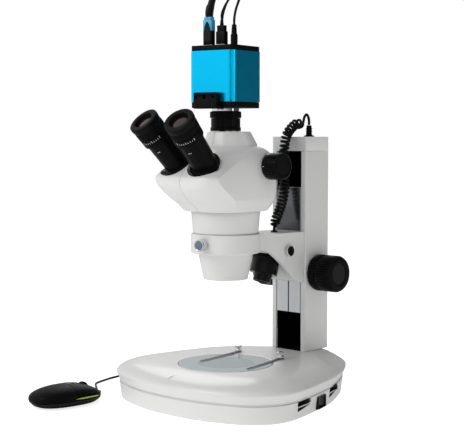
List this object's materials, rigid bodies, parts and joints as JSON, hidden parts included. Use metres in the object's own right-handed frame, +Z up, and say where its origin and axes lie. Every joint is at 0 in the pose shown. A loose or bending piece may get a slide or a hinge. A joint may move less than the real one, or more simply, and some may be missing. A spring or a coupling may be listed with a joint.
{
  "type": "stereo microscope",
  "caption": "Stereo zoom microscope on a round-fronted lit column stand, with trinocular camera, oblique lamp, mouse and leads.",
  "frame": {"origin": "where the optical axis meets the underside of the base tray", "axes": "+X the user's right, -Y towards the user, +Z up along the optical axis"},
  "size_m": [0.3779, 0.4542, 0.5743],
  "materials": {
    "white_housing": "satin moulded enamel",
    "black_plastic": "satin black",
    "black_rubber": "matt rubber",
    "cable_jacket": "smooth flexible jacket",
    "blue_anodised": "satin blue anodising",
    "chrome": "polished",
    "brushed_aluminium": "brushed lengthways",
    "steel": "bright steel",
    "stage_glass": "clear glass",
    "frosted_panel": "frosted diffuser"
  },
  "bodies": {
    "root": {"base_cover": "white_housing", "base_tray": "white_housing", "stage_plate": "stage_glass", "light_panel": "frosted_panel", "clip_screw_left": "chrome", "clip_screw_right": "chrome", "power_inlet": "black_plastic", "foot_front_left": "black_rubber", "foot_front_right": "black_rubber", "foot_rear_left": "black_rubber", "foot_rear_right": "black_rubber", "column": "white_housing", "column_cap": "white_housing", "lamp_lead_gland": "black_rubber", "hdmi_cable": "cable_jacket", "mouse_lead": "cable_jacket", "camera_power_lead": "cable_jacket", "lamp_lead": "cable_jacket", "hdmi_coil": "cable_jacket", "hdmi_far_plug": "black_plastic", "power_far_plug": "black_plastic", "mouse_body": "black_plastic"},
    "carriage": {"carriage_rail": "brushed_aluminium", "focus_rack": "steel", "arm": "white_housing", "head_shell_left": "white_housing", "head_shell_right": "white_housing", "objective_barrel": "white_housing", "camera_adapter": "black_plastic", "camera_mount_ring": "black_plastic", "camera_bottom_plate": "black_plastic", "camera_shell": "blue_anodised", "camera_top_plate": "black_plastic", "camera_bracket": "black_plastic", "hdmi_plug": "black_plastic", "usb_plug": "black_plastic", "camera_power_plug": "black_plastic"},
    "focus_drive": {"focus_pinion_shaft": "steel", "focus_knob_left": "black_plastic", "focus_knob_right": "black_plastic"},
    "zoom_drive": {"zoom_shaft": "steel", "zoom_knob_left": "black_plastic", "zoom_knob_right": "black_plastic"},
    "collar_screw": {"collar_screw": "chrome"},
    "arm_side_screw": {"arm_side_screw": "chrome"},
    "lamp": {"lamp_housing": "black_plastic"},
    "clip_left": {"stage_clip_left": "steel"},
    "clip_right": {"stage_clip_right": "steel"},
    "front_wheel": {"brightness_wheel_front": "black_plastic"},
    "rear_wheel": {"brightness_wheel_rear": "black_plastic"},
    "rocker": {"power_rocker": "black_plastic"},
    "mouse_left_button": {"mouse_button_left": "black_plastic"},
    "mouse_right_button": {"mouse_button_right": "black_plastic"},
    "mouse_scroll": {"mouse_wheel": "black_rubber"},
    "eyetube_left": {"eyetube_left": "black_plastic"},
    "eyepiece_left": {"eyepiece_left": "black_rubber"},
    "diopter_left": {"diopter_ring_left": "black_plastic"},
    "eyetube_right": {"eyetube_right": "black_plastic"},
    "eyepiece_right": {"eyepiece_right": "black_rubber"},
    "diopter_right": {"diopter_ring_right": "black_plastic"}
  },
  "joints": [
    {"name": "focus_slide", "type": "slide", "parent": "root", "child": "carriage", "axis": [0, 0, 1], "range_m": [-0.045, 0.045], "deforming": ["hdmi_cable", "mouse_lead", "camera_power_lead", "lamp_lead"]},
    {"name": "focus_turn", "type": "hinge", "parent": "root", "child": "focus_drive", "pos_m": [0, 0.157, 0.162], "axis": [1, 0, 0], "range_deg": [-345, 345]},
    {"name": "zoom_turn", "type": "hinge", "parent": "carriage", "child": "zoom_drive", "pos_m": [0, 0.024, 0.3145], "axis": [1, 0, 0], "range_deg": [-150, 150]},
    {"name": "eyetube_left_swing", "type": "hinge", "parent": "carriage", "child": "eyetube_left", "pos_m": [-0.02345, -0.04133, 0.33645], "axis": [-0.0985, -0.695, 0.7122], "range_deg": [-9.5, 5.3]},
    {"name": "eyepiece_left_slide", "type": "slide", "parent": "eyetube_left", "child": "eyepiece_left", "axis": [-0.0985, -0.695, 0.7122], "range_m": [-0.0025, 0.0025]},
    {"name": "diopter_left_turn", "type": "hinge", "parent": "eyepiece_left", "child": "diopter_left", "pos_m": [-0.02896, -0.10172, 0.35538], "axis": [-0.0985, -0.695, 0.7122], "range_deg": [-131, 131]},
    {"name": "eyetube_right_swing", "type": "hinge", "parent": "carriage", "child": "eyetube_right", "pos_m": [0.02345, -0.04133, 0.33645], "axis": [0.0985, -0.695, 0.7122], "range_deg": [-5.3, 9.5]},
    {"name": "eyepiece_right_slide", "type": "slide", "parent": "eyetube_right", "child": "eyepiece_right", "axis": [0.0985, -0.695, 0.7122], "range_m": [-0.0025, 0.0025]},
    {"name": "diopter_right_turn", "type": "hinge", "parent": "eyepiece_right", "child": "diopter_right", "pos_m": [0.02896, -0.10172, 0.35538], "axis": [0.0985, -0.695, 0.7122], "range_deg": [-131, 131]},
    {"name": "collar_screw_turn", "type": "hinge", "parent": "carriage", "child": "collar_screw", "pos_m": [0.00436, -0.04981, 0.213], "axis": [0.0872, -0.9962, 0], "range_deg": [0, 360]},
    {"name": "arm_side_screw_turn", "type": "hinge", "parent": "carriage", "child": "arm_side_screw", "pos_m": [0.03, 0.096, 0.1965], "axis": [1, 0, 0], "range_deg": [0, 360]},
    {"name": "lamp_tilt", "type": "hinge", "parent": "carriage", "child": "lamp", "pos_m": [0, 0.0845, 0.19], "axis": [1, 0, 0], "range_deg": [-14, 12]},
    {"name": "clip_left_swing", "type": "hinge", "parent": "root", "child": "clip_left", "pos_m": [-0.0385, 0.068, 0.053], "axis": [0, 0, 1], "range_deg": [-60, 15]},
    {"name": "clip_right_swing", "type": "hinge", "parent": "root", "child": "clip_right", "pos_m": [0.0385, 0.068, 0.053], "axis": [0, 0, 1], "range_deg": [-15, 60]},
    {"name": "front_wheel_turn", "type": "hinge", "parent": "root", "child": "front_wheel", "pos_m": [0.1255, -0.006, 0.0205], "axis": [0, 0, 1], "range_deg": [-135, 135]},
    {"name": "rear_wheel_turn", "type": "hinge", "parent": "root", "child": "rear_wheel", "pos_m": [0.1015, 0.0848, 0.0205], "axis": [0, 0, 1], "range_deg": [-135, 135]},
    {"name": "rocker_tilt", "type": "hinge", "parent": "root", "child": "rocker", "pos_m": [0.12768, 0.03997, 0.0118], "axis": [-0.2504, 0.9681, 0], "range_deg": [-6, 6]},
    {"name": "mouse_left_click", "type": "hinge", "parent": "root", "child": "mouse_left_button", "pos_m": [-0.14986, -0.15151, 0.022], "axis": [0.9903, -0.1392, 0], "range_deg": [-1.2, 0], "stiffness_Nm_per_rad": 1.3, "springref_deg": 1.15},
    {"name": "mouse_right_click", "type": "hinge", "parent": "root", "child": "mouse_right_button", "pos_m": [-0.14986, -0.15151, 0.022], "axis": [0.9903, -0.1392, 0], "range_deg": [-1.2, 0], "stiffness_Nm_per_rad": 1.3, "springref_deg": 1.15},
    {"name": "mouse_scroll_turn", "type": "hinge", "parent": "root", "child": "mouse_scroll", "pos_m": [-0.14624, -0.12576, 0.0165], "axis": [0.9903, -0.1392, 0], "continuous": true}
  ],
  "couplings": [
    {"joint": "focus_turn", "follows": "focus_slide", "rad_per_m": -133.33},
    {"joint": "eyetube_right_swing", "follows": "eyetube_left_swing", "ratio": -1},
    {"joint": "diopter_left_turn", "follows": "eyepiece_left_slide", "rad_per_m": 907.6},
    {"joint": "diopter_right_turn", "follows": "eyepiece_right_slide", "rad_per_m": 907.6}
  ]
}
